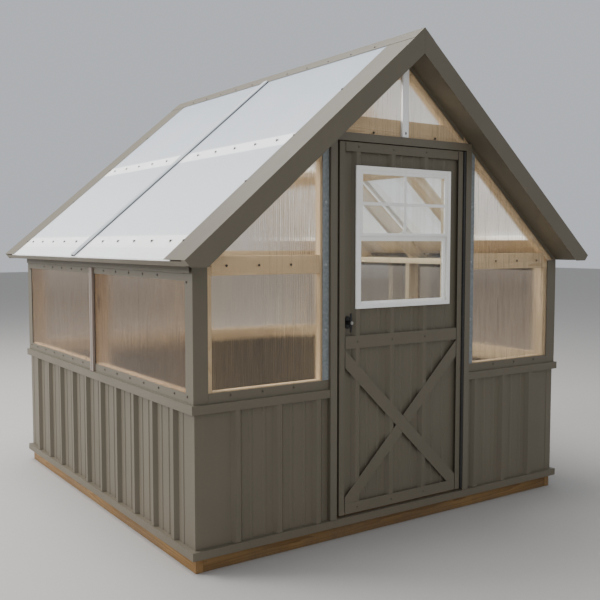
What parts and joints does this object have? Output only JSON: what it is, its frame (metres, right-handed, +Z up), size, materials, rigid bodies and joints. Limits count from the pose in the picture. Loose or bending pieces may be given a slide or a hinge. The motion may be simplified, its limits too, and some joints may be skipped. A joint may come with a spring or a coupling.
{
  "type": "garden greenhouse",
  "caption": "Small gable greenhouse: timber frame, ribbed steel base walls, twin-wall glazing above, and a hinged door with a sliding sash window.",
  "frame": {"origin": "on the ground at the middle of the plan", "axes": "+Z up, -Y out through the door wall, +X to the right as one faces the door"},
  "size_m": [2.6942, 2.758, 2.5708],
  "materials": {
    "treated_wood": "rough sawn, treated",
    "framing_wood": "planed softwood, bare",
    "bronze_steel": "satin paint",
    "opal_glazing": "fluted, translucent",
    "white_channel": "smooth",
    "white_vinyl": "smooth, slightly dusty",
    "window_glass": "clear",
    "black_seal": "foam strip",
    "black_steel": "satin black"
  },
  "bodies": {
    "house": {"base_boards_sides": "treated_wood", "base_boards_ends": "treated_wood", "bottom_plates": "framing_wood", "corner_posts": "framing_wood", "side_studs": "framing_wood", "sill_rails": "framing_wood", "top_plates": "framing_wood", "front_girts": "framing_wood", "back_girts": "framing_wood", "back_stud": "framing_wood", "door_posts": "framing_wood", "door_header": "framing_wood", "gable_rafters": "framing_wood", "middle_rafters": "framing_wood", "ridge_board": "framing_wood", "purlins": "framing_wood", "fly_rafters": "framing_wood", "door_jambs": "framing_wood", "door_stops": "framing_wood", "door_seal": "black_seal", "door_threshold": "treated_wood", "base_trims": "bronze_steel", "low_panel_left": "bronze_steel", "low_panel_right": "bronze_steel", "low_panel_back": "bronze_steel", "low_panels_front": "bronze_steel", "low_corner_trims": "bronze_steel", "sill_trims": "bronze_steel", "high_corner_trims": "bronze_steel", "side_sheets": "opal_glazing", "back_sheets": "opal_glazing", "front_sheets": "opal_glazing", "gable_sheets": "opal_glazing", "roof_sheets_left": "opal_glazing", "roof_sheets_right": "opal_glazing", "wall_channels": "white_channel", "roof_channels": "white_channel", "rake_trims": "bronze_steel", "rake_soffits": "bronze_steel", "ridge_cap": "bronze_steel", "eave_trims": "bronze_steel", "jamb_trims": "bronze_steel", "hinge_frame_leaf": "black_steel", "hinge_pin": "black_steel"},
    "door": {"door_core": "framing_wood", "door_skin": "bronze_steel", "door_edge_trims": "bronze_steel", "door_rails": "bronze_steel", "door_braces": "bronze_steel", "hinge_door_leaf": "black_steel", "window_frame": "white_vinyl", "upper_sash": "white_vinyl", "upper_glass": "window_glass", "glazing_bars": "white_vinyl", "handle_plate": "black_steel"},
    "sash": {"lower_sash": "white_vinyl", "lower_glass": "window_glass"},
    "lock": {"sash_lock": "white_vinyl"},
    "handle": {"handle": "black_steel", "latch_arm": "black_steel"}
  },
  "joints": [
    {"name": "door_hinge", "type": "hinge", "parent": "house", "child": "door", "pos_m": [0.4325, -1.239, 1.05], "axis": [0, 0, 1], "range_deg": [0, 110]},
    {"name": "sash_slide", "type": "slide", "parent": "door", "child": "sash", "axis": [0, 0, 1], "range_m": [0, 0.27]},
    {"name": "lock_turn", "type": "hinge", "parent": "sash", "child": "lock", "pos_m": [0, -1.2234, 1.552], "axis": [0, 0, 1], "range_deg": [0, 180]},
    {"name": "handle_turn", "type": "hinge", "parent": "door", "child": "handle", "pos_m": [-0.359, -1.219, 1.098], "axis": [0, 1, 0], "range_deg": [0, 90]}
  ]
}
